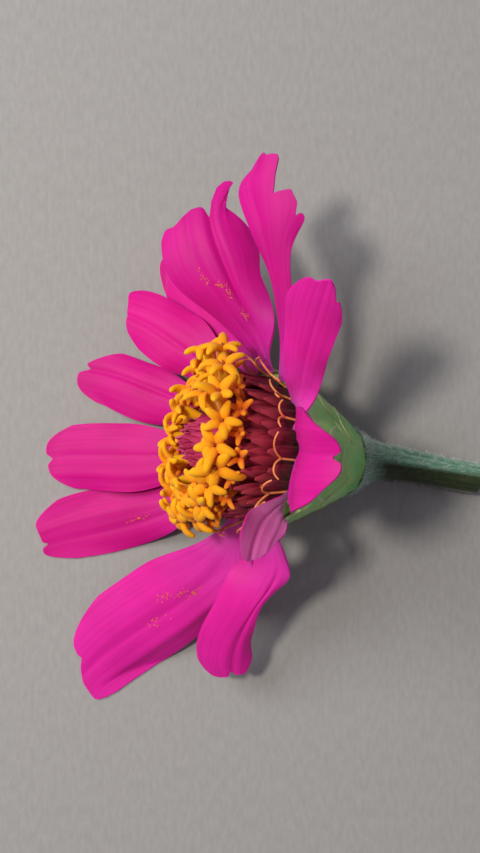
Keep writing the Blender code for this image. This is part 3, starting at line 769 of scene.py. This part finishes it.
def petal_surface(s, v, shape):
    """Points on the middle of a petal's blade, and the way its face looks there."""
    t = s * (1.0 - (1.0 - blade_end(v, shape)) * s**2)
    angle = radians(shape["angle"])
    foot = on_head(RING_RADIUS, angle, CLAW_LIFT)
    midrib = [foot] + [np.array(point) - np.array(MIDDLE) for point in shape["midrib"]]
    spine = through(midrib, t)
    along = unit(through(midrib, t + NUDGE) - through(midrib, t - NUDGE))
    twist = ease(t / shape["twist_by"])[:, None]
    tangent = np.array(HEAD.to_3x3() @ Vector((-sin(angle), cos(angle), 0.0)))
    across = (1.0 - twist) * tangent + twist * np.array(shape["across"])
    across = unit(across - (across * along).sum(-1, keepdims=True) * along)
    face = np.cross(along, across)
    half = blade_half(t, v, shape)
    curl = blade_curl(t, v, shape)
    turn = curl * np.abs(v)
    side = np.sign(v) * half * np.sin(turn) / curl
    drop = -half * (1.0 - np.cos(turn)) / curl
    looks = face * np.cos(turn)[:, None] + across * (np.sign(v) * np.sin(turn))[:, None]
    lift = blade_lift(t, v, shape)
    points = spine + side[:, None] * across + drop[:, None] * face + lift[:, None] * looks
    for at, sideways, up, width in shape["hooks"]:
        near_tip = bump_at(v, at, width) * np.clip((s - HOOK_FROM) / HOOK_LENGTH, 0.0, 1.0) ** 2
        points = points + near_tip[:, None] * (sideways * across + up * face)
    return kept_above_table(points), looks


def petal(number, shape, face, back):
    thing, s, v = blade_grid(f"petal_{number:02d}", STEPS_ALONG, STEPS_ACROSS)
    move_corners(thing, petal_surface(s, v, shape)[0] * MM)
    clothe(thing, face, back)
    thicken(thing, PETAL_THICKNESS, under=1)
    smooth(thing)
    finished(thing, "ray_magenta", f"ray_floret_{number:02d}")


def pollen(shapes, finish):
    """Orange grains that lie in small clusters on the petals."""
    chance = random.Random(POLLEN_SEED)
    places = []
    for number, s, v in POLLEN:
        for _ in range(GRAINS):
            at_s = np.array([s + chance.gauss(0.0, CLUSTER_LENGTH)])
            at_v = np.array([v + chance.gauss(0.0, CLUSTER_WIDTH)])
            point, looks = petal_surface(at_s, at_v, shapes[number - 1])
            size = chance.uniform(*GRAIN_SIZES)
            centre = point[0] + looks[0] * (PETAL_THICKNESS / 2.0 + size * GRAIN_PROUD)
            places.append(Matrix.Translation(Vector(centre) * MM) @ Matrix.Scale(size * MM, 4))
    bpy.ops.mesh.primitive_ico_sphere_add(subdivisions=2, radius=1.0)
    grain = added("grain")
    points = corners(grain)
    lumps = GRAIN_LUMPS * np.sin(7.0 * points[:, :1]) * np.cos(5.0 * points[:, 1:2])
    move_corners(grain, points * (1.0 + lumps))
    clothe(grain, finish)
    made = scatter("pollen", grain, places)
    smooth(made)
    finished(made, "floret_yellow")


# Green cup


def cup_radius(height):
    radii, heights = zip(*CUP_PROFILE)
    return np.interp(height, heights[::-1], radii[::-1])


def bent(points):
    """The cup leans towards the flower's level side at its narrow end."""
    points[:, 1] -= CUP_BEND * (points[:, 2] / STEM_TOP) ** 2
    return points


def cup_body(finish):
    """The solid end of the stem, turned round the head's axis, under its bracts."""
    foot = CUP_PROFILE[-1][1]
    thing = cylinder("cup_body", CUP_SIDES, 1.0, CUP_TOP - foot, (CUP_TOP + foot) / 2)
    cut_into_rings(thing, CUP_RINGS)
    points = corners(thing)
    points[:, :2] *= (cup_radius(points[:, 2]) - CUP_UNDER_BRACTS)[:, None]
    move_corners(thing, bent(points) * MM)
    thing.data.transform(HEAD)
    return clothe(thing, finish)


def cup_bract(angle, foot, top, width, proud, finish):
    """A rounded bract pressed to the cup, with a raised midline and a margin that stands off a little."""
    thing, s, v = blade_grid("cup_bract", 16, 14)
    reach = 1.0 - BRACT_ROUND * np.abs(v) ** 2.6
    height = foot + (top - foot) * s * reach
    belly = BRACT_BELLY * np.sin(pi * np.clip(s, 0.0, 1.0)) ** 2
    midline = MIDLINE_RISE * bump_at(v, 0.0, MIDLINE_WIDTH) * (1.0 - s)
    margin = MARGIN_RISE * bump_at(np.abs(v), MARGIN_AT, MARGIN_WIDTH)
    tip = BRACT_TIP * ease((s - 0.8) / 0.2)
    pressed = cup_radius(height) + proud * (0.2 + 0.8 * s) - BRACT_PRESSED * np.abs(v) ** 2
    radius = pressed + belly + (midline + margin) + tip
    width = width * (0.72 + 0.28 * s)
    a = angle + v * width / 2.0 / cup_radius(height)
    points = np.stack([radius * np.cos(a), radius * np.sin(a), height], axis=1)
    move_corners(thing, bent(points) * MM)
    thicken(thing, BRACT_THICKNESS)
    thing.data.transform(HEAD)
    return clothe(thing, finish)


def green_cup(finish):
    chance = random.Random(CUP_SEED)
    things = [cup_body(finish)]
    for count, low, high, width, proud, turn in BRACT_ROWS:
        for i in range(count):
            angle = radians(turn + chance.uniform(-4.0, 4.0)) + 2.0 * pi * i / count
            foot = low + chance.uniform(-0.2, 0.2)
            top = high + chance.uniform(-0.5, 0.3)
            things.append(cup_bract(angle, foot, top, width, proud, finish))
    made = joined("green_cup", things)
    smooth(made)
    finished(made, "involucre_green", "involucre")


# Chaff


def place_on_dome(radius, height, angle, tilt):
    """A frame on the dome: Z leans outwards by the tilt above level, and Y runs round the head."""
    around = Matrix.Rotation(angle, 4, "Z")
    lean = Matrix.Rotation(pi / 2.0 - radians(tilt), 4, "Y")
    return HEAD @ around @ Matrix.Translation(Vector((radius, 0.0, height)) * MM) @ lean


def chaff_core(finish):
    """The dome under the bracts: a short wall, drawn in ring by ring to its top."""
    radius, height = CORE_PROFILE[0]
    thing = cylinder("chaff_core", CORE_SIDES, radius, CORE_WALL, height - CORE_WALL / 2.0)
    select_top(thing)
    switch_to("EDIT")
    bpy.ops.mesh.select_mode(type="FACE")
    for next_radius, next_height in CORE_PROFILE[1:]:
        share = next_radius / radius
        bpy.ops.mesh.extrude_region_move(TRANSFORM_OT_translate={"value": (0, 0, next_height - height)})
        bpy.ops.transform.resize(value=(share, share, 1.0), center_override=(0, 0, next_height))
        radius, height = next_radius, next_height
    switch_to("OBJECT")
    move_corners(thing, corners(thing) * MM)
    thing.data.transform(HEAD)
    return clothe(thing, finish)


def chaff_bract(width, length, keel, finish):
    """A narrow boat-shaped bract with a pointed tip."""
    thing, s, v = blade_grid("chaff_bract", 8, 4)
    half = width / 2.0 * (1.0 - 0.25 * s) * np.sqrt(np.clip(1.0 - ease((s - 0.55) / 0.45) * 0.96, 0.0, 1.0))
    out = keel * (1.0 - np.abs(v) ** 1.5) * (1.0 - 0.5 * s) + CHAFF_FLARE * s**3
    move_corners(thing, np.stack([out, half * v, s * length], axis=1) * MM)
    thicken(thing, CHAFF_THICKNESS)
    return clothe(thing, finish)


def chaff(finish, apex_finish):
    chance = random.Random(CHAFF_SEED)
    things = [chaff_core(finish)]
    for count, radius, foot, length, width, tilt, turn in WALL_ROWS:
        pattern = chaff_bract(width, length, WALL_KEEL, finish)
        for i in range(count):
            angle = 2.0 * pi * (i + turn) / count + chance.uniform(-0.03, 0.03)
            place = place_on_dome(radius, foot, angle, tilt + chance.uniform(-2.0, 2.0))
            stretch = Matrix.Scale(chance.uniform(0.8, 1.1), 4, (0, 0, 1))
            things.append(copy_to(pattern, place @ stretch))
        bpy.data.objects.remove(pattern)
    pattern = chaff_bract(APEX_WIDTH, APEX_LENGTH, APEX_KEEL, apex_finish)
    for i in range(APEX_BRACTS):
        spread = sqrt((i + 0.5) / APEX_BRACTS)
        height = APEX_TOP - APEX_FALL * spread
        tilt = APEX_TILT + APEX_SPREAD * spread + chance.uniform(-3.0, 3.0)
        place = place_on_dome(APEX_RADIUS * spread, height, i * GOLDEN_ANGLE, tilt)
        things.append(copy_to(pattern, place @ Matrix.Scale(chance.uniform(0.85, 1.15), 4)))
    bpy.data.objects.remove(pattern)
    made = joined("chaff_bracts", things)
    smooth(made)
    finished(made, "chaff_crimson", "chaff")


# Disc florets


def floret_lobe(angle, opening, length, finish):
    """One fleshy lobe: a long bead, bent out from the throat and back at its tip."""
    bpy.ops.mesh.primitive_uv_sphere_add(segments=10, ring_count=9, radius=1.0)
    thing = added("floret_lobe")
    points = corners(thing)
    points[:, :2] *= np.sqrt((1.0 + points[:, 2:] ** 2) * (1.0 + points[:, 2:] ** 4))
    q = (points[:, 2] + 1.0) / 2.0
    start = radians(LOBE_FOOT_TURN - LOBE_FOOT_OPENS * opening)
    end = radians(LOBE_TIP_TURN - LOBE_TIP_OPENS * opening)
    turn = start + (end - start) * q
    mean = start + (end - start) * q / 2.0
    centre_out = THROAT + length * q * np.cos(mean)
    centre_up = length * q * np.sin(mean) - THROAT
    thick = points[:, 0] * (LOBE_THICK - 0.12 * q)
    wide = points[:, 1] * (LOBE_WIDE - 0.3 * q + 0.12 * np.sin(pi * q))
    out = centre_out - thick * np.sin(turn)
    up = centre_up + thick * np.cos(turn)
    ca, sa = cos(angle), sin(angle)
    moved = np.stack([out * ca - wide * sa, out * sa + wide * ca, up], axis=1)
    move_corners(thing, moved * MM)
    return clothe(thing, finish)


def floret_tube(finish):
    """An open tube whose upper edge widens into a lip and turns down into the mouth."""
    low, high = TUBE_RADII
    bpy.ops.mesh.primitive_cone_add(vertices=10, radius1=low * MM, radius2=high * MM,
                                    depth=TUBE_LENGTH * MM, end_fill_type="NOTHING",
                                    location=(0, 0, TUBE_MIDDLE * MM))
    thing = added("floret_tube")
    bpy.ops.object.transform_apply(location=True)
    for vertex in thing.data.vertices:
        vertex.select = vertex.co.z > TUBE_RIM * MM
    for edge in thing.data.edges:
        edge.select = all(thing.data.vertices[i].select for i in edge.vertices)
    switch_to("EDIT")
    bpy.ops.mesh.select_mode(type="EDGE")
    for rise, widens in ((LIP_RISE, LIP_WIDENS), (MOUTH_RISE, MOUTH_WIDENS)):
        bpy.ops.mesh.extrude_region_move(TRANSFORM_OT_translate={"value": (0, 0, rise * MM)})
        bpy.ops.transform.resize(value=(widens, widens, 1.0), center_override=(0, 0, 0))
    switch_to("OBJECT")
    return clothe(thing, finish)


def floret_column(finish):
    """The small dark column of anthers that stands in the throat."""
    bpy.ops.mesh.primitive_uv_sphere_add(segments=8, ring_count=6, radius=1.0)
    thing = added("floret_column")
    points = corners(thing) * np.array(ANTHER_SIZE) + np.array([0.0, 0.0, ANTHER_RISE])
    move_corners(thing, points * MM)
    return clothe(thing, finish)


def star_floret(opening, chance, finish, column):
    things = [floret_tube(finish), floret_column(column)]
    for j in range(LOBES):
        angle = 2.0 * pi * j / LOBES + chance.uniform(-0.15, 0.15)
        bend = opening + chance.uniform(-0.35, 0.35)
        things.append(floret_lobe(angle, bend, chance.uniform(*LOBE_LENGTHS), finish))
    return joined("star_floret", things)


def disc_florets(finishes, column):
    """The crown of open florets, taller on the head's level sides and drawn in at its top side."""
    chance = random.Random(FLORET_SEED)
    things = []
    for row in FLORET_ROWS:
        finish = finishes[row["colour"]]
        patterns = [star_floret(opening, chance, finish, column) for opening in row["openings"]]
        for i in range(row["count"]):
            angle = radians(row["turn"]) + 2.0 * pi * i / row["count"]
            if cos(angle) > row["clear"]:
                continue
            size = row["size"] * chance.uniform(0.92, 1.08)
            tilt = row["tilt"] + row["lean"] * cos(angle + CROWN_TURN) + chance.uniform(-6.0, 6.0)
            reach = sin(angle + SWAY_TURN) ** 3
            stretch = row["sway"] * max(reach, -SWAY_FAR_SIDE * reach)
            tube = row["tube"] * chance.uniform(0.9, 1.1) * (1.0 + stretch)
            inwards = row["inwards"] * max(cos(angle), 0.0)
            place = place_on_dome(row["radius"] - inwards, row["height"] + CROWN_RISE * inwards, angle, tilt)
            place = place @ Matrix.Translation((0, 0, tube * MM))
            place = place @ Matrix.Rotation(chance.uniform(0.0, 2.0 * pi), 4, "Z") @ Matrix.Scale(size, 4)
            things.append(copy_to(chance.choice(patterns), place))
        for pattern in patterns:
            bpy.data.objects.remove(pattern)
    made = joined("star_florets", things)
    smooth(made, 80.0)
    finished(made, "floret_yellow", "disc_florets")


# Styles


def thread(curve, points, radii):
    spline = curve.splines.new("NURBS")
    spline.points.add(len(points) - 1)
    for target, point, radius in zip(spline.points, points, radii):
        target.co = (*(Vector(point) * MM), 1.0)
        target.radius = radius
    spline.use_endpoint_u = True
    spline.order_u = 4


def style_arm(curve, chance, foot, up, outward, around, arm):
    """One arm of the fork, which curls back from the stalk's end."""
    turn_start = radians(chance.uniform(8.0, 26.0))
    turn_end = radians(chance.uniform(75.0, 135.0))
    rise = chance.uniform(0.1, 0.5)
    length = arm * chance.uniform(0.8, 1.2)
    point = foot.copy()
    arc = [point.copy()]
    for k in range(ARM_STEPS):
        turn = turn_start + turn_end * (k / (ARM_STEPS - 1)) ** ARM_BEND
        heading = up * cos(turn) + around * sin(turn) + outward * rise
        point = point + heading.normalized() * length / ARM_STEPS
        arc.append(point.copy())
    thread(curve, arc, [1.0 - ARM_TAPER * k / ARM_STEPS for k in range(ARM_STEPS + 1)])


def styles(finish):
    """Each petal's style: a thin stalk on the chaff, forked into two arms that curl back."""
    curve = bpy.data.curves.new("styles", "CURVE")
    curve.dimensions = "3D"
    curve.bevel_depth = STYLE_RADIUS * MM
    curve.bevel_resolution = 2
    curve.resolution_u = 4
    curve.use_fill_caps = True
    chance = random.Random(STYLE_SEED)
    for degrees, fork, lean, arm in STYLES:
        angle = radians(degrees)
        drift = chance.uniform(-0.06, 0.06)
        stalk = []
        for share in STALK_SHARES:
            height = -STYLE_SUNK + (fork + STYLE_SUNK) * share
            stalk.append(on_head(STYLE_RING + lean * height, angle + drift * share, height))
        thread(curve, stalk, STALK_SWELLS)
        foot = Vector(stalk[-1])
        up = (foot - Vector(stalk[-2])).normalized()
        outward = Vector(on_head(20.0, angle + drift, fork)) - Vector(on_head(10.0, angle + drift, fork))
        outward = (outward - outward.dot(up) * up).normalized()
        around = up.cross(outward)
        for side in (-1.0, 1.0):
            style_arm(curve, chance, foot, up, outward, around * side, arm)
    thing = bpy.data.objects.new("styles", curve)
    link(thing)
    pick(thing)
    bpy.ops.object.convert(target="MESH")
    thing = added("styles")
    clothe(thing, finish)
    smooth(thing)
    finished(thing, "floret_yellow")


# Stem


def stem_course():
    """The stem's middle line: from the cup's narrow end to the cut."""
    start = np.array(HEAD @ Vector((0.0, -CUP_BEND * MM, STEM_TOP * MM))) / MM
    return [start] + [np.array(point) - np.array(MIDDLE) for point in STEM_ROUTE]


def stem_point(share, angle, reach):
    """Points in the stem, at a share of its radius from its middle, with the ways out and along there."""
    course = stem_course()
    axis = np.array(HEAD.to_3x3().col[2])
    centre = through(course, share)
    along = unit(through(course, share + NUDGE) - through(course, share - NUDGE))
    past_cup = ease(share / STEM_STRAIGHT)[:, None]
    along = unit((1.0 - past_cup) * -axis + past_cup * along)
    cut = np.where(share > CUT_FROM, 1.0, 0.0)[:, None]
    along = unit(along + cut * np.array(STEM_CUT))
    radius = STEM_RADIUS + (STEM_TOP_RADIUS - STEM_RADIUS) * np.exp(-share * STEM_FLARE)
    radius = radius + STEM_RIB_DEPTH * np.cos(STEM_RIBS * angle + STEM_RIB_TURN * share)
    level = unit(np.cross((0.0, 0.0, 1.0), along))
    upper = np.cross(along, level)
    out = np.cos(angle)[:, None] * level + np.sin(angle)[:, None] * upper
    points = centre + (radius * reach)[:, None] * out
    points[:, 2] = np.maximum(points[:, 2], 0.0)
    return points, out, along


def stem(skin, pith):
    """A long cylinder laid along the stem's course, with a sunken ring and pith in its cut end."""
    thing = cylinder("stem_skin", STEM_SIDES, 1.0, 1.0, 0.5)
    clothe(thing, skin, pith)
    cut_into_rings(thing, STEM_RINGS)
    bpy.context.tool_settings.mesh_select_mode = (False, False, True)
    select_top(thing)
    for polygon in thing.data.polygons:
        polygon.material_index = int(polygon.select)
    switch_to("EDIT")
    for inset, sunk in (RIND, PITH):
        bpy.ops.mesh.inset(thickness=inset, depth=sunk)
    switch_to("OBJECT")
    grid = corners(thing)
    reach = np.minimum(np.hypot(grid[:, 0], grid[:, 1]), 1.0)
    points = stem_point(grid[:, 2], np.arctan2(grid[:, 1], grid[:, 0]), reach)[0]
    move_corners(thing, points * MM)
    smooth(thing, 50.0)
    finished(thing, "stem_green", "stem")


def hair_tuft(finish):
    """Four fine hairs that spread from one place."""
    wide, fine = HAIR_RADII
    things = []
    for turn, tilt, length in TUFT:
        bpy.ops.mesh.primitive_cone_add(vertices=3, radius1=wide, radius2=fine, depth=length,
                                        location=(0, 0, length / 2.0))
        hair = added("hair")
        bpy.ops.object.transform_apply(location=True)
        offset = Vector((TUFT_RADIUS * cos(turn), TUFT_RADIUS * sin(turn), -HAIR_SUNK))
        hair.data.transform(Matrix.Translation(offset) @ Matrix.Rotation(turn, 4, "Z")
                            @ Matrix.Rotation(tilt, 4, "Y"))
        hair.data.transform(Matrix.Scale(MM, 4))
        clothe(hair, finish)
        things.append(hair)
    return joined("hair_tuft", things)


def stem_hairs(finish):
    """Tufts all over the stem but its underside, closer together and longer under the head."""
    chance = random.Random(HAIR_SEED)
    places = []
    for _ in range(TUFTS):
        share = np.array([chance.random() ** TUFTS_CROWD * TUFTS_TO])
        angle = np.array([chance.uniform(0.0, 2.0 * pi)])
        point, out, along = stem_point(share, angle, 1.0)
        if point[0][2] < LOWEST_TUFT:
            continue
        upward = Vector(out[0] + 0.5 * along[0]).normalized()
        turn = upward.to_track_quat("Z", "X").to_matrix().to_4x4()
        longer = LONG_TUFT if share[0] < LONG_TUFTS_TO else 1.0
        size = Matrix.Scale(longer * chance.uniform(0.8, 1.2), 4)
        spin = Matrix.Rotation(chance.uniform(0.0, 6.28), 4, "Z")
        places.append(Matrix.Translation(Vector(point[0]) * MM) @ turn @ spin @ size)
    made = scatter("stem_hairs", hair_tuft(finish), places)
    finished(made, "stem_green")


# Table, light and camera


def table_top():
    made, tree = new_finish("table_paper", 0.85, Specular_IOR_Level=0.15)
    grain = noise(tree, "Object", (1400.0, 500.0, 1400.0), detail=4.0, roughness=0.6)
    colour = ramp(tree, grain, ((0.3, srgb(162, 159, 155)), (0.7, srgb(172, 169, 165))))
    bpy.ops.mesh.primitive_plane_add(size=TABLE_SIZE)
    thing = added("table_top")
    clothe(thing, painted(made, colour, grain, 0.15, 0.1))


def soft_light(name, place, size, power, colour):
    lamp = bpy.data.lights.new(name, "AREA")
    lamp.shape = "DISK"
    lamp.size = size
    lamp.energy = power
    lamp.color = colour
    thing = bpy.data.objects.new(name, lamp)
    thing.location = place
    thing.rotation_euler = (-Vector(place)).to_track_quat("-Z", "Y").to_euler()
    link(thing)


def studio():
    soft_light("sun_patch", place=(-0.18, 0.06, 0.4), size=0.06, power=0.98, colour=(1.0, 0.95, 0.87))
    soft_light("window", place=(-0.36, 0.22, 0.36), size=0.3, power=1.62, colour=(0.95, 0.97, 1.0))
    world = bpy.data.worlds.new("room")
    world.use_nodes = True
    world.node_tree.nodes["Background"].inputs["Color"].default_value = ROOM_COLOUR
    world.node_tree.nodes["Background"].inputs["Strength"].default_value = ROOM_LIGHT
    bpy.context.scene.world = world
    bpy.context.scene.view_settings.view_transform = "Standard"


def camera():
    lens = bpy.data.cameras.new("camera")
    lens.sensor_width = SENSOR
    lens.lens = LENS
    lens.clip_start = 10.0 * MM
    thing = bpy.data.objects.new("camera", lens)
    thing.location = Vector((-MIDDLE.x, -MIDDLE.y, CAMERA_HEIGHT)) * MM
    link(thing)
    bpy.context.scene.camera = thing


def main():
    deselect_all()
    faces, back = petal_faces(), petal_back()
    shapes = [{**PETAL, **shape} for shape in PETALS]
    for number, shape in enumerate(shapes, start=1):
        petal(number, shape, faces[shape["face"]], back)
    pollen(shapes, plain_finish("pollen_dust", srgb(220, 90, 60), srgb(250, 150, 60), 4000.0, 0.8))
    green_cup(cup_finish())
    red = chaff_finish("chaff_red", srgb(62, 8, 22), srgb(144, 26, 50), srgb(196, 70, 84), srgb(190, 84, 90))
    purple = chaff_finish("chaff_purple", srgb(116, 16, 60), srgb(186, 26, 88), srgb(210, 60, 112),
                          srgb(230, 130, 166))
    chaff(red, purple)
    gold = floret_finish("floret_gold", srgb(236, 120, 18), srgb(255, 162, 6), srgb(255, 192, 10))
    orange = floret_finish("floret_orange", srgb(206, 70, 24), srgb(236, 116, 16), srgb(250, 160, 24))
    anthers = plain_finish("anther_brown", srgb(150, 70, 20), srgb(200, 110, 30), 5000.0, 0.7)
    disc_florets({"gold": gold, "orange": orange}, anthers)
    styles(plain_finish("style_orange", srgb(228, 126, 66), srgb(246, 160, 96), 2500.0, 0.45))
    stem(stem_finish(), cut_finish())
    # The hairs take the same painted shade as the stem's lower side
    white = plain_finish("hair_white", srgb(190, 205, 195), srgb(225, 232, 225), 3000.0, 0.6, painted_shade_below)
    stem_hairs(white)
    table_top()
    studio()
    camera()


main()
